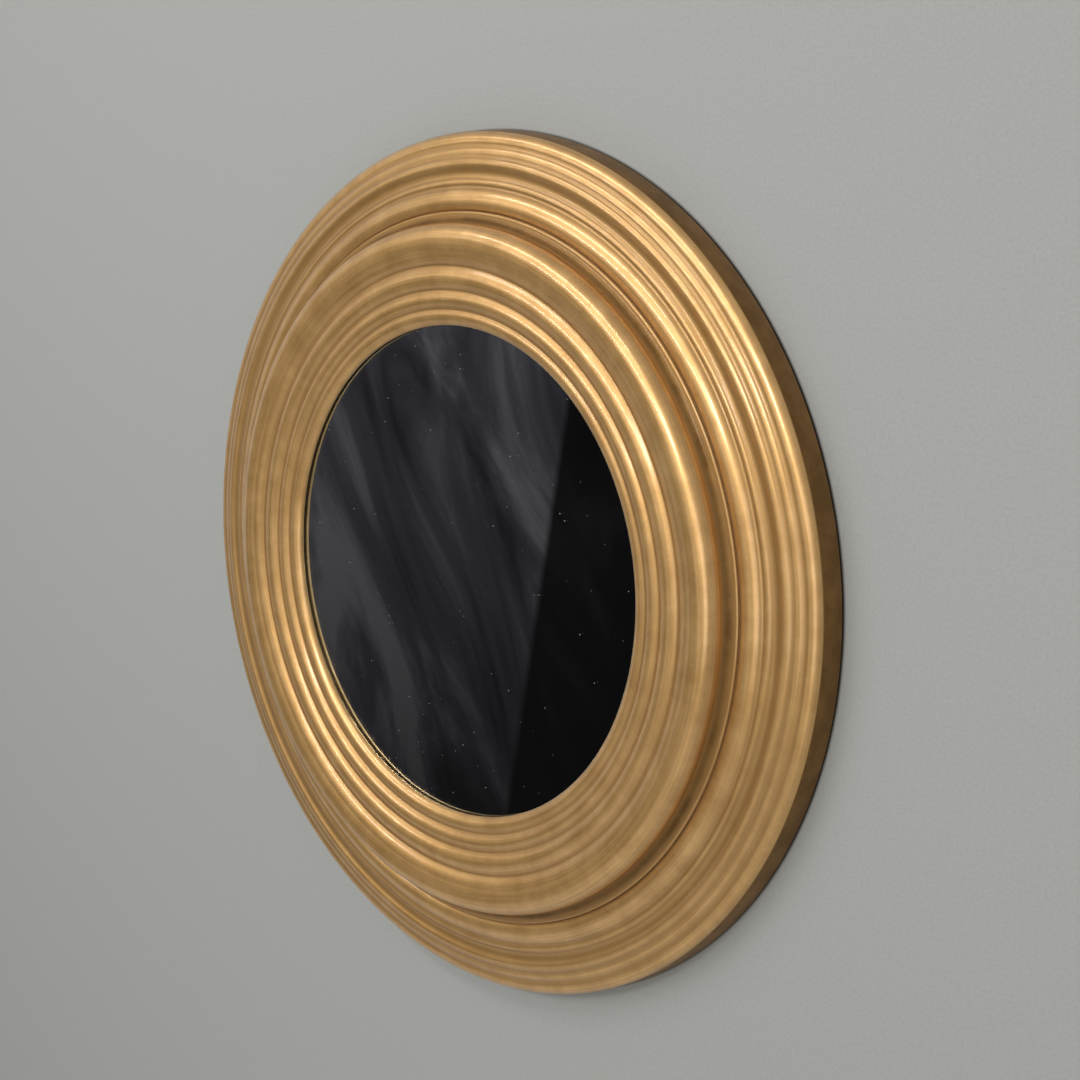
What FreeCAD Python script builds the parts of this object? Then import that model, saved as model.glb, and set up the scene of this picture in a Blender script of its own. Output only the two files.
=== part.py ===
import FreeCAD, Part
import math
import os

# Round wall mirror: a flat glass held in a stepped, turned wooden frame of two rings.
# Sizes are in millimetres. X points right as seen from the front, Z up, and the front faces -Y.
# The origin is where the frame's axis meets the wall. A radius is from that axis, and a height
# is off the wall, so a point at height h has y = -h.

# The stack behind the sight edge, from the wall forwards
PAD_THICKNESS = 2.0
BASE_THICKNESS = 25.0          # base ring between its back and the seat of the raised ring
BOARD_THICKNESS = 3.0
CUSHION_THICKNESS = 2.0
GLASS_THICKNESS = 3.0
LIP_THICKNESS = 1.6            # wood in front of the glass at the sight edge

# Glass and rebate
SIGHT_RADIUS = 184.5
GLASS_COVER = 5.5              # how far the lip laps over the glass
REBATE_CLEARANCE = 1.0         # round the edge of the glass, the cushion and the board

# Face of the raised ring, from the sight edge outwards. Each member is its width, its rise
# and its bulge: the height of its arc over its chord, negative in a hollow.
INNER_BEAD = (12.1, 3.3, 2.8)
MIDDLE_BEAD = (13.4, 1.7, 3.0)
OUTER_BEAD = (17.3, 1.3, 3.6)
COLLAR = (9.9, 4.4, 0.9)
TORUS_BACK_WIDTH = 9.8
TORUS_BACK_RISE = 1.6
TORUS_NOSE_RADIUS = 10.8
FOOT_HOLLOW_RADIUS = 6.4
FOOT_FILLET = (2.4, -1.1, 0.5)

# Face of the base ring, from the joint between the rings outwards
JOINT_GAP = 0.3
REGISTER_DEPTH = 2.9           # how deep the raised ring is let into the base ring
BROAD_BAND = (16.8, -2.6, 3.4)
NARROW_BAND = (6.0, -0.7, 1.3)
VALLEY = (7.4, 0.6, -0.7)
TWIN_BAND_INNER = (7.6, -1.6, 1.5)
TWIN_BAND_OUTER = (7.9, -2.2, 1.2)
RIM_ROUND = (10.8, -5.9, 2.8)
SIDE_DRAFT = 1.6               # how much wider the side wall is at the back

# Turn buttons that hold the backing board
BUTTON_COUNT = 6
FIRST_BUTTON_ANGLE = 30.0
BUTTON_EDGE_DISTANCE = 12.0    # pivot outside the rebate
BUTTON_SWING_ROOM = 12.0       # pivot to the base ring's inner wall
BUTTON_COVER = 5.0             # how far a closed button laps over the board
BUTTON_WIDTH = 11.0
BUTTON_THICKNESS = 1.5
BUTTON_SCREW_RADIUS = 1.75
BUTTON_SCREW_LENGTH = 12.0
BUTTON_HEAD_RADIUS = 3.75
BUTTON_HEAD_HEIGHT = 2.4
PIVOT_CLEARANCE = 0.05

# Screws that pull the two rings together
RING_SCREW_COUNT = 8
FIRST_RING_SCREW_ANGLE = 22.5
RING_SCREW_RADIUS = 2.0
RING_SCREW_LENGTH = 32.0
RING_HEAD_RADIUS = 4.0
RING_HEAD_HEIGHT = 2.8
COUNTERBORE_DEPTH = 4.0
COUNTERBORE_CLEARANCE = 0.5
SHANK_CLEARANCE = 0.25
PILOT_CLEARANCE = 0.05

# Keyhole hanging plates, let in flush with the back
PLATE_ANGLE = 42.0             # above the horizontal, left and right
PLATE_WIDTH = 16.0
PLATE_HEIGHT = 50.0
PLATE_THICKNESS = 1.5
PLATE_RECESS_CLEARANCE = 0.25
KEYHOLE_RADIUS = 4.75
KEYHOLE_DROP = 6.0             # entry hole below the plate's middle
SLOT_WIDTH = 5.0
SLOT_RISE = 8.0                # upper end of the slot above the plate's middle
HEAD_POCKET_DEPTH = 8.5        # room behind the plate for the wall screw's head
HEAD_POCKET_MARGIN = 1.0       # pocket outside the entry hole
PLATE_SCREW_RADIUS = 1.5
PLATE_SCREW_LENGTH = 14.0
PLATE_SCREW_INSET = 6.0        # screw to the plate's end
PLATE_HEAD_RADIUS = 2.9
PLATE_HEAD_HEIGHT = 1.6

# Felt pads that keep the back off the wall
PAD_RADIUS = 10.0
PAD_INSET = 16.0               # pad centre to the frame's edge

BACK = PAD_THICKNESS
SEAT = BACK + BASE_THICKNESS
GLASS_BACK = SEAT + BOARD_THICKNESS + CUSHION_THICKNESS
GLASS_FRONT = GLASS_BACK + GLASS_THICKNESS
GLASS_RADIUS = SIGHT_RADIUS + GLASS_COVER
REBATE_RADIUS = GLASS_RADIUS + REBATE_CLEARANCE
PIVOT_RADIUS = REBATE_RADIUS + BUTTON_EDGE_DISTANCE
WELL_RADIUS = PIVOT_RADIUS + BUTTON_SWING_ROOM

TOWARDS_FRONT = FreeCAD.Vector(0, -1, 0)
AXIS = FreeCAD.Vector(0, 1, 0)
CENTRE = FreeCAD.Vector(0, 0, 0)


class Section:
    """A closed outline in radius and height off the wall, turned into a ring or a disc."""

    def __init__(self, radius, height):
        self.start = (radius, height)
        self.here = self.start
        self.edges = []

    @staticmethod
    def point(place):
        return FreeCAD.Vector(place[0], -place[1], 0)

    def to(self, radius, height):
        """Draw a straight line to a place."""
        there = (radius, height)
        self.edges.append(Part.LineSegment(self.point(self.here), self.point(there)).toShape())
        self.here = there

    def member(self, width, rise, bulge):
        """Draw an arc over a chord, bulging forwards where bulge is positive."""
        radius, height = self.here
        there = (radius + width, height + rise)
        chord = math.hypot(width, rise)
        middle = (radius + width / 2 - bulge * rise / chord, height + rise / 2 + bulge * width / chord)
        arc = Part.Arc(self.point(self.here), self.point(middle), self.point(there))
        self.edges.append(arc.toShape())
        self.here = there

    def quarter(self, radius, hollow=False):
        """Draw a quarter circle outwards and down."""
        bulge = radius * (math.sqrt(2) - 1) / math.sqrt(2)
        self.member(radius, -radius, -bulge if hollow else bulge)

    def turned(self):
        """Close the outline and turn it about the axis."""
        self.to(*self.start)
        return Part.Face(Part.Wire(self.edges)).revolve(CENTRE, AXIS, 360)


def ring(inner, outer, low, high):
    """A plain ring, or a disc where inner is 0."""
    section = Section(inner, low)
    section.to(outer, low)
    section.to(outer, high)
    section.to(inner, high)
    return section.turned()


def placed(shape, x, z):
    shape.translate(FreeCAD.Vector(x, 0, z))
    return shape


def around(radius, angle):
    """X and Z of a place at an angle above +X."""
    turn = math.radians(angle)
    return radius * math.cos(turn), radius * math.sin(turn)


def drill(x, z, radius, low, high):
    """A cylinder square to the wall, between two heights."""
    return Part.makeCylinder(radius, high - low, FreeCAD.Vector(x, -low, z), TOWARDS_FRONT)


def obround(x, bottom, top, width, low, high):
    """An upright bar with round ends, between two heights."""
    radius = width / 2
    corner = FreeCAD.Vector(x - radius, -high, bottom + radius)
    bar = Part.makeBox(width, high - low, top - bottom - width, corner)
    ends = [drill(x, z, radius, low, high) for z in (bottom + radius, top - radius)]
    return bar.fuse(ends).removeSplitter()


def screw(x, z, seat, radius, length, head_radius, head_height):
    """A round-head screw whose head bears on a face at height seat, from behind."""
    rim = head_height / 3
    tip = 2 * radius
    section = Section(0, seat - head_height)
    section.member(head_radius, head_height - rim, -head_height / 8)
    section.to(head_radius, seat)
    section.to(radius, seat)
    section.to(radius, seat + length - tip)
    section.to(0, seat + length)
    return placed(section.turned(), x, z)


def raised_face(section):
    """Draw the raised ring's face from the sight edge outwards."""
    section.member(*INNER_BEAD)
    section.member(*MIDDLE_BEAD)
    section.member(*OUTER_BEAD)
    section.member(*COLLAR)
    crown_slope = math.atan2(TORUS_BACK_RISE, TORUS_BACK_WIDTH)
    crown_chord = math.hypot(TORUS_BACK_RISE, TORUS_BACK_WIDTH)
    section.member(TORUS_BACK_WIDTH, TORUS_BACK_RISE, crown_chord / 2 * math.tan(crown_slope / 2))
    section.quarter(TORUS_NOSE_RADIUS)
    section.quarter(FOOT_HOLLOW_RADIUS, hollow=True)
    section.member(*FOOT_FILLET)


def raised_ring():
    section = Section(SIGHT_RADIUS, GLASS_FRONT)
    section.to(SIGHT_RADIUS, GLASS_FRONT + LIP_THICKNESS)
    raised_face(section)
    outer = section.here[0]
    section.to(outer, SEAT)
    section.to(REBATE_RADIUS, SEAT)
    section.to(REBATE_RADIUS, GLASS_FRONT)
    return section.turned(), outer


def base_ring(raised_outer):
    section = Section(WELL_RADIUS, SEAT)
    section.to(raised_outer + JOINT_GAP, SEAT)
    section.to(raised_outer + JOINT_GAP, SEAT + REGISTER_DEPTH)
    for member in (BROAD_BAND, NARROW_BAND, VALLEY, TWIN_BAND_INNER, TWIN_BAND_OUTER, RIM_ROUND):
        section.member(*member)
    outer = section.here[0] + SIDE_DRAFT
    section.to(outer, BACK)
    section.to(WELL_RADIUS, BACK)
    return section.turned(), outer


def turn_button(angle):
    """A steel strip with round ends, closed over the board, with its pivot hole."""
    radius = BUTTON_WIDTH / 2
    reach = PIVOT_RADIUS - (GLASS_RADIUS - BUTTON_COVER)
    low = SEAT - BUTTON_THICKNESS
    strip = obround(0, -reach, radius, BUTTON_WIDTH, low, SEAT)
    strip = strip.cut(drill(0, 0, BUTTON_SCREW_RADIUS + PIVOT_CLEARANCE, low, SEAT))
    strip.translate(FreeCAD.Vector(0, 0, PIVOT_RADIUS))
    strip.rotate(CENTRE, AXIS, 90 - angle)
    return strip


def keyhole_plate(x, z):
    low = BACK
    high = BACK + PLATE_THICKNESS
    plate = obround(x, z - PLATE_HEIGHT / 2, z + PLATE_HEIGHT / 2, PLATE_WIDTH, low, high)
    slot = obround(x, z - KEYHOLE_DROP - SLOT_WIDTH / 2, z + SLOT_RISE, SLOT_WIDTH, low, high)
    plate = plate.cut([slot, drill(x, z - KEYHOLE_DROP, KEYHOLE_RADIUS, low, high)])
    for screw_z in plate_screw_places(z):
        plate = plate.cut(drill(x, screw_z, PLATE_SCREW_RADIUS + PILOT_CLEARANCE, low, high))
    return plate


def plate_screw_places(z):
    reach = PLATE_HEIGHT / 2 - PLATE_SCREW_INSET
    return z + reach, z - reach


def keyhole_recess(x, z):
    """What the base ring loses for one plate: its seat and the pocket behind its keyhole."""
    grown = PLATE_HEIGHT / 2 + PLATE_RECESS_CLEARANCE
    width = PLATE_WIDTH + 2 * PLATE_RECESS_CLEARANCE
    floor = BACK + PLATE_THICKNESS
    seat = obround(x, z - grown, z + grown, width, BACK, floor)
    half = KEYHOLE_RADIUS + HEAD_POCKET_MARGIN
    pocket = obround(x, z - KEYHOLE_DROP - half, z + SLOT_RISE + half - SLOT_WIDTH / 2, 2 * half,
                     floor, floor + HEAD_POCKET_DEPTH)
    return seat.fuse(pocket)


def build():
    """Make every node and return it under its name."""
    nodes = {}
    raised, raised_outer = raised_ring()
    base, outer = base_ring(raised_outer)

    nodes["mirror_glass"] = ring(0, GLASS_RADIUS, GLASS_BACK, GLASS_FRONT)
    nodes["cushion_sheet"] = ring(0, GLASS_RADIUS, GLASS_BACK - CUSHION_THICKNESS, GLASS_BACK)
    nodes["backing_board"] = ring(0, GLASS_RADIUS, SEAT, SEAT + BOARD_THICKNESS)

    for number in range(BUTTON_COUNT):
        angle = FIRST_BUTTON_ANGLE + 360 / BUTTON_COUNT * number
        x, z = around(PIVOT_RADIUS, angle)
        nodes[f"turn_button_{number + 1}"] = turn_button(angle)
        nodes[f"turn_button_screw_{number + 1}"] = screw(
            x, z, SEAT - BUTTON_THICKNESS, BUTTON_SCREW_RADIUS, BUTTON_SCREW_LENGTH,
            BUTTON_HEAD_RADIUS, BUTTON_HEAD_HEIGHT)
        pilot_depth = BUTTON_SCREW_LENGTH - BUTTON_THICKNESS + 1
        raised = raised.cut(drill(x, z, BUTTON_SCREW_RADIUS + PILOT_CLEARANCE, SEAT, SEAT + pilot_depth))

    head_seat = BACK + COUNTERBORE_DEPTH
    for number in range(RING_SCREW_COUNT):
        angle = FIRST_RING_SCREW_ANGLE + 360 / RING_SCREW_COUNT * number
        x, z = around((WELL_RADIUS + raised_outer) / 2, angle)
        nodes[f"ring_screw_{number + 1}"] = screw(
            x, z, head_seat, RING_SCREW_RADIUS, RING_SCREW_LENGTH, RING_HEAD_RADIUS, RING_HEAD_HEIGHT)
        base = base.cut([
            drill(x, z, RING_HEAD_RADIUS + COUNTERBORE_CLEARANCE, BACK, head_seat),
            drill(x, z, RING_SCREW_RADIUS + SHANK_CLEARANCE, head_seat, SEAT)])
        pilot_top = head_seat + RING_SCREW_LENGTH + 1
        raised = raised.cut(drill(x, z, RING_SCREW_RADIUS + PILOT_CLEARANCE, SEAT, pilot_top))

    for side, angle in (("right", PLATE_ANGLE), ("left", 180 - PLATE_ANGLE)):
        x, z = around((WELL_RADIUS + outer) / 2, angle)
        nodes[f"keyhole_plate_{side}"] = keyhole_plate(x, z)
        base = base.cut(keyhole_recess(x, z))
        for place, screw_z in zip(("upper", "lower"), plate_screw_places(z)):
            nodes[f"keyhole_screw_{side}_{place}"] = screw(
                x, screw_z, BACK, PLATE_SCREW_RADIUS, PLATE_SCREW_LENGTH,
                PLATE_HEAD_RADIUS, PLATE_HEAD_HEIGHT)
            base = base.cut(drill(x, screw_z, PLATE_SCREW_RADIUS + PILOT_CLEARANCE,
                                  BACK, BACK + PLATE_SCREW_LENGTH + 1))

    for place, angle in (("right", 0), ("top", 90), ("left", 180), ("bottom", 270)):
        x, z = around(outer - PAD_INSET, angle)
        nodes[f"wall_pad_{place}"] = drill(x, z, PAD_RADIUS, 0, PAD_THICKNESS)

    nodes["raised_ring"] = raised
    nodes["base_ring"] = base
    return nodes


os.makedirs("parts", exist_ok=True)
for name, shape in build().items():
    if not shape.isValid():
        print("not valid:", name)
    solids = shape.Solids
    print(name, len(solids), "solid", round(shape.Volume / 1000, 2), "cm3")
    solids[0].exportStep(os.path.join("parts", name + ".step"))
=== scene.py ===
"""Looks of a round wall mirror: flat glass in a stepped frame of two turned, gold-painted rings.

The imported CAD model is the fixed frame. Every piece here stands for one of its nodes and keeps that
node's place. Sizes are in millimetres until a mesh is made; the axis of the rings is the Y axis, a
radius is from that axis, and a height is off the wall, so a point at height h has y = -h.
"""
import logging
import math
from collections.abc import Callable, Iterable, Sequence
from dataclasses import dataclass, field
from enum import Enum
from functools import partial

import bpy
from mathutils import Matrix, Vector


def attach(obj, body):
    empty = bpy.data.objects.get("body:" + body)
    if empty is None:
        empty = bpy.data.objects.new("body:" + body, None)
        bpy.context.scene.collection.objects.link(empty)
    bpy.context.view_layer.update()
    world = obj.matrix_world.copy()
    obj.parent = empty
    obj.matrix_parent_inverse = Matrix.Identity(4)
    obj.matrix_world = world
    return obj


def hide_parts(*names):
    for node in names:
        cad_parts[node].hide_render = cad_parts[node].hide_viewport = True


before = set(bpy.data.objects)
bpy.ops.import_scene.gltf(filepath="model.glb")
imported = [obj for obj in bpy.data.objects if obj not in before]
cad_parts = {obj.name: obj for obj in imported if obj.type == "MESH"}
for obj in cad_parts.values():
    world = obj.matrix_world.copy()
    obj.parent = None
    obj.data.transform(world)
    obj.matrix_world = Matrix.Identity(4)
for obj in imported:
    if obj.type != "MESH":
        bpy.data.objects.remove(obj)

LOG = logging.getLogger("mirror")
MM = 0.001
CREASE = math.radians(35)      # edges sharper than this stay crisp when a piece is smoothed
CORNER = math.radians(20)      # a section that turns more than this has a corner
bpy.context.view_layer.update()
GOLD_SLOT, ZINC_SLOT = "gold_painted_wood", "zinc_plated_steel"
Place = tuple[float, float]
Colour = tuple[float, float, float, float]
Triple = tuple[float, float, float]
Socket = bpy.types.NodeSocket


# ---------------------------------------------------------------- small helpers

def srgb(code: str) -> Colour:
    """Turn a hex colour into linear light.

    Args:
        code: the colour as #rrggbb in sRGB.

    Returns:
        Linear red, green and blue, and an alpha of 1.
    """
    parts = [int(code[i:i + 2], 16) / 255 for i in (1, 3, 5)]
    linear = [p / 12.92 if p <= 0.04045 else ((p + 0.055) / 1.055) ** 2.4 for p in parts]
    return linear[0], linear[1], linear[2], 1.0


def grey(value: float) -> Colour:
    """A linear grey."""
    return value, value, value, 1.0


def per_metre(size: float) -> float:
    """Scale of a pattern whose features are size mm across."""
    return 1000 / size


def polar(radius: float, degrees: float) -> Place:
    """X and Z of a point at a radius and at an angle above the right."""
    turn = math.radians(degrees)
    return radius * math.cos(turn), radius * math.sin(turn)


def direction(azimuth: float, elevation: float) -> Vector:
    """The way from the mirror to a place in the room.

    Args:
        azimuth: 0 is straight in front, and more is to the right, in degrees.
        elevation: degrees above the horizontal.

    Returns:
        A vector of length 1.
    """
    turn, tilt = math.radians(azimuth), math.radians(elevation)
    return Vector(
        (math.sin(turn) * math.cos(tilt), -math.cos(turn) * math.cos(tilt), math.sin(tilt)))


def moved(x: float, height: float, z: float) -> Matrix:
    """A move by mm to the right, off the wall and up."""
    return Matrix.Translation((x * MM, -height * MM, z * MM))


def turned(degrees: float) -> Matrix:
    """A turn about the Y axis."""
    return Matrix.Rotation(math.radians(degrees), 4, "Y")


def fill(node: bpy.types.Node, settings: dict) -> None:
    """Give a node its settings and links.

    Args:
        node: the node.
        settings: values by name. A number or a capitalised name is an input, and the rest are
            the node's own settings. An input takes a value, another node's output, or a node,
            whose first output is then meant.
    """
    for name, value in settings.items():
        if isinstance(value, bpy.types.Node):
            value = value.outputs[0]
        if isinstance(value, bpy.types.NodeSocket):
            node.id_data.links.new(value, node.inputs[name])
        elif isinstance(name, int) or name[0].isupper():
            node.inputs[name].default_value = value
        else:
            setattr(node, name, value)


def add_node(tree: bpy.types.NodeTree, kind: str, settings: dict | None = None) -> bpy.types.Node:
    """Add one shader node.

    Args:
        tree: the node tree it goes in.
        kind: the node's type name, without the ShaderNode at its start.
        settings: its settings and links, as in fill.

    Returns:
        The new node.
    """
    node = tree.nodes.new("ShaderNode" + kind)
    fill(node, settings or {})
    return node


def new_material(name: str) -> tuple[bpy.types.Material, Callable, bpy.types.Node, Socket]:
    """Start a material with nothing but its shader.

    Args:
        name: what the real finish is.

    Returns:
        The material, what adds a node to it, its Principled shader and the object's own
        coordinates.
    """
    material = bpy.data.materials.new(name)
    material.use_nodes = True
    add = partial(add_node, material.node_tree)
    shader = material.node_tree.nodes["Principled BSDF"]
    return material, add, shader, add("TexCoord").outputs["Object"]


def two_tones(add: Callable, pattern: Socket | bpy.types.Node, span: Place,
              first: Colour | Socket, second: Colour) -> Socket:
    """A colour that turns from one tone to another as a pattern rises.

    Args:
        add: what adds a node.
        pattern: the pattern.
        span: its values where the first tone ends and where the second one is full.
        first: the tone where the pattern is low.
        second: the tone where it is high.

    Returns:
        The colour.
    """
    share = add("MapRange", {"Value": pattern, "From Min": span[0], "From Max": span[1]})
    return add("Mix", {"data_type": "RGBA", 0: share, 6: first, 7: second}).outputs[2]


# ---------------------------------------------------------------- finishes

@dataclass(frozen=True)
class AntiqueGoldPaint:
    """Bronze-powder paint, brushed on the turning ring over primed wood and rubbed back with a
    brown wax.

    The eye gets a satin gold with a broad, creamy gloss, hairlines that run round the ring, a fine
    powdery grain, and dull brown wax left in the grooves. That brown is also painted shade, in soft
    bands beside the grooves and over the deep hollow.
    """
    lit: str = "#e3b472"
    deep: str = "#c99a5a"
    # brown of the wax, also used as painted shade in and beside the grooves and hollows
    wax: str = "#6c4a1c"
    grain: float = 0.9
    stroke_width: float = 1.2      # drawn about three times as coarse as bristle marks, to show
    stroke_length: float = 90.0
    stroke_radius: float = 250.0   # where a stroke has that length
    mottle: float = 22.0
    roughness: float = 0.38
    wax_roughness: float = 0.18    # how much rougher full wax is
    metallic: float = 0.78
    coat: float = 0.95
    wax_off_coat: float = 0.85     # how much of the coat's gloss full wax takes away
    coat_roughness: float = 0.14

    def material(self) -> bpy.types.Material:
        """Build the paint.

        Returns:
            The material.
        """
        material, add, shader, place = new_material("antique gold bronze-powder paint")
        fine = per_metre(self.stroke_width)
        x, y, z = add("SeparateXYZ", {0: place}).outputs
        flat = add("CombineXYZ", {"X": x, "Z": z})
        radius = add("VectorMath", {"operation": "LENGTH", 0: flat}).outputs["Value"]
        way = add("VectorMath", {"operation": "NORMALIZE", 0: flat})
        across = add("Math", {"operation": "MULTIPLY", 0: radius, 1: fine})
        depth = add("Math", {"operation": "MULTIPLY", 0: y, 1: fine})
        round_it = add("VectorMath", {
            "operation": "SCALE", 0: way, "Scale": self.stroke_radius / self.stroke_length})
        lift = add("CombineXYZ", {"Y": across})
        track = add("VectorMath", {"operation": "ADD", 0: round_it, 1: lift})
        strokes = add("TexNoise", {
            "noise_dimensions": "4D", "Vector": track, "W": depth, "Scale": 1.0, "Detail": 3.0,
            "Roughness": 0.55})
        grain = add("TexNoise", {"Vector": place, "Scale": per_metre(self.grain), "Detail": 2.0})
        mottle = add("TexNoise", {
            "Vector": place, "Scale": per_metre(self.mottle), "Detail": 4.0, "Roughness": 0.6})
        # share of wax and painted shade, set on each ring's points
        wax_and_shade_mask = add("Attribute", {"attribute_name": "wax"}).outputs["Fac"]

        body = two_tones(add, mottle, (0.3, 0.7), srgb(self.deep), srgb(self.lit))
        hair = add("MapRange", {
            "Value": strokes, "From Min": 0.35, "From Max": 0.62, "To Min": 0.84, "To Max": 1.04})
        brushed = add("Mix", {
            "data_type": "RGBA", "blend_type": "MULTIPLY", 0: 1.0, 6: body, 7: hair}).outputs[2]
        patchy = add("MapRange", {
            "Value": mottle, "From Min": 0.3, "From Max": 0.6, "To Min": 0.75, "To Max": 1.0})
        wax_and_shade_held = add("Math", {"operation": "MULTIPLY", 0: wax_and_shade_mask, 1: patchy})
        colour = add("Mix", {
            "data_type": "RGBA", 0: wax_and_shade_held, 6: brushed, 7: srgb(self.wax)}).outputs[2]
        rough = add("MapRange", {
            "Value": grain, "From Min": 0.3, "From Max": 0.7, "To Min": self.roughness - 0.04,
            "To Max": self.roughness + 0.07})
        dulled = add("Math", {
            "operation": "MULTIPLY_ADD", 0: wax_and_shade_mask, 1: self.wax_roughness, 2: rough})
        gloss = add("Math", {
            "operation": "MULTIPLY_ADD", 0: wax_and_shade_mask, 1: -self.wax_off_coat, 2: self.coat})
        ridges = add("Bump", {"Strength": 0.5, "Distance": 0.03 * MM, "Height": strokes})
        powder = add("Bump", {
            "Strength": 0.25, "Distance": 0.03 * MM, "Height": grain, "Normal": ridges})
        swell = add("Bump", {
            "Strength": 0.3, "Distance": 0.06 * MM, "Height": mottle, "Normal": powder})
        fill(shader, {
            "Base Color": colour, "Roughness": dulled, "Metallic": self.metallic,
            "Coat Weight": gloss, "Coat Roughness": self.coat_roughness, "Normal": swell})
        return material


@dataclass(frozen=True)
class BareLimewood:
    """Sanded limewood with no finish: pale, dull and even, with a faint long grain."""
    light: str = "#c8a67c"
    dark: str = "#a98355"
    paint: str = "#9b7443"
    grain_width: float = 5.0
    fibre: float = 0.7
    paint_edge: Place = (323.5, 325.5)     # radii between which crept paint begins
    paint_wander: float = 8.0              # how far that edge wanders with the grain

    def material(self) -> bpy.types.Material:
        """Build the wood, with gold paint that has crept round the outer edge.

        Returns:
            The material.
        """
        material, add, shader, place = new_material("bare limewood")
        along = add("Mapping", {"Vector": place, "Scale": (0.06, 1.0, 1.0)})
        bands = add("TexNoise", {
            "Vector": along, "Scale": per_metre(self.grain_width), "Detail": 5.0,
            "Roughness": 0.6, "Distortion": 0.4})
        fibre = add("TexNoise", {"Vector": along, "Scale": per_metre(self.fibre), "Detail": 2.0})
        wood = two_tones(add, bands, (0.35, 0.65), srgb(self.light), srgb(self.dark))
        x, _, z = add("SeparateXYZ", {0: place}).outputs
        flat = add("CombineXYZ", {"X": x, "Z": z})
        radius = add("VectorMath", {"operation": "LENGTH", 0: flat}).outputs["Value"]
        ragged = add("Math", {
            "operation": "MULTIPLY_ADD", 0: bands, 1: self.paint_wander * MM, 2: radius})
        edge = tuple(radius * MM for radius in self.paint_edge)
        colour = two_tones(add, ragged, edge, wood, srgb(self.paint))
        bump = add("Bump", {"Strength": 0.5, "Distance": 0.12 * MM, "Height": fibre})
        fill(shader, {"Base Color": colour, "Roughness": 0.72, "Normal": bump})
        return material


@dataclass(frozen=True)
class FloatGlass:
    """Polished 3 mm float glass: clear, dead flat, with a trace of green and a little dust."""
    tint: str = "#f6fbf8"
    dust: str = "#c9c9c6"
    speck_spacing: float = 11.0
    speck: float = 0.4             # drawn a little coarse, to show
    dust_cover: float = 0.6        # how much light a speck stops

    def material(self) -> bpy.types.Material:
        """Build the glass.

        Returns:
            The material.
        """
        material, add, shader, place = new_material("float glass")
        away = add("TexVoronoi", {"Vector": place, "Scale": per_metre(self.speck_spacing)})
        speck = add("Math", {"operation": "LESS_THAN", 0: away, 1: self.speck / self.speck_spacing})
        colour = add("Mix", {
            "data_type": "RGBA", 0: speck, 6: srgb(self.tint), 7: srgb(self.dust)}).outputs[2]
        clear = add("Math", {"operation": "MULTIPLY_ADD", 0: speck, 1: -self.dust_cover, 2: 1.0})
        fill(shader, {
            "Base Color": colour, "Transmission Weight": clear, "Roughness": 0.0, "IOR": 1.52})
        return material


@dataclass(frozen=True)
class Silvering:
    """Silver laid on the back of the glass: a clean, nearly colourless mirror."""
    colour: str = "#e6e8e8"
    cloud: float = 60.0

    def material(self) -> bpy.types.Material:
        """Build the silver.

        Returns:
            The material.
        """
        material, add, shader, place = new_material("mirror silvering")
        cloud = add("TexNoise", {"Vector": place, "Scale": per_metre(self.cloud), "Detail": 2.0})
        tone = add("MapRange", {"Value": cloud, "To Min": 0.96, "To Max": 1.0})
        colour = add("Mix", {
            "data_type": "RGBA", "blend_type": "MULTIPLY", 0: 1.0, 6: srgb(self.colour),
            7: tone}).outputs[2]
        fill(shader, {"Base Color": colour, "Metallic": 1.0, "Roughness": 0.0})
        return material


@dataclass(frozen=True)
class PlainCoat:
    """A matt, slightly uneven coat or sheet: backing paint, card or hardboard.

    The eye gets an even tone with soft clouds and short fibres.
    """
    name: str
    light: str
    dark: str
    cloud: float
    fibre: float
    roughness: float
    relief: float

    def material(self) -> bpy.types.Material:
        """Build the coat.

        Returns:
            The material.
        """
        material, add, shader, place = new_material(self.name)
        cloud = add("TexNoise", {"Vector": place, "Scale": per_metre(self.cloud), "Detail": 3.0})
        along = add("Mapping", {"Vector": place, "Scale": (0.3, 1.0, 1.0)})
        fibre = add("TexNoise", {
            "Vector": along, "Scale": per_metre(self.fibre), "Detail": 3.0, "Roughness": 0.65,
            "Distortion": 1.2})
        both = add("Math", {"operation": "MULTIPLY", 0: cloud, 1: fibre})
        colour = two_tones(add, both, (0.15, 0.36), srgb(self.dark), srgb(self.light))
        bump = add("Bump", {"Strength": 0.5, "Distance": self.relief * MM, "Height": fibre})
        fill(shader, {"Base Color": colour, "Roughness": self.roughness, "Normal": bump})
        return material


@dataclass(frozen=True)
class ZincPlate:
    """Bright zinc plate on pressed steel: a cool, slightly cloudy metal with fine scuffs."""
    bright: str = "#c3c5c8"
    cloudy: str = "#9fa3a8"
    cloud: float = 5.0
    scuff: float = 0.5

    def material(self) -> bpy.types.Material:
        """Build the plate.

        Returns:
            The material.
        """
        material, add, shader, place = new_material("zinc plate on steel")
        cloud = add("TexNoise", {"Vector": place, "Scale": per_metre(self.cloud), "Detail": 4.0})
        drawn = add("Mapping", {
            "Vector": place, "Rotation": (0.0, 0.6, 0.0), "Scale": (0.12, 1.0, 1.0)})
        scuff = add("TexNoise", {"Vector": drawn, "Scale": per_metre(self.scuff), "Detail": 2.0})
        colour = two_tones(add, cloud, (0.3, 0.7), srgb(self.cloudy), srgb(self.bright))
        rough = add("MapRange", {
            "Value": scuff, "From Min": 0.3, "From Max": 0.7, "To Min": 0.24, "To Max": 0.42})
        bump = add("Bump", {"Strength": 0.25, "Distance": 0.02 * MM, "Height": scuff})
        fill(shader, {"Base Color": colour, "Roughness": rough, "Metallic": 1.0, "Normal": bump})
        return material


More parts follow.
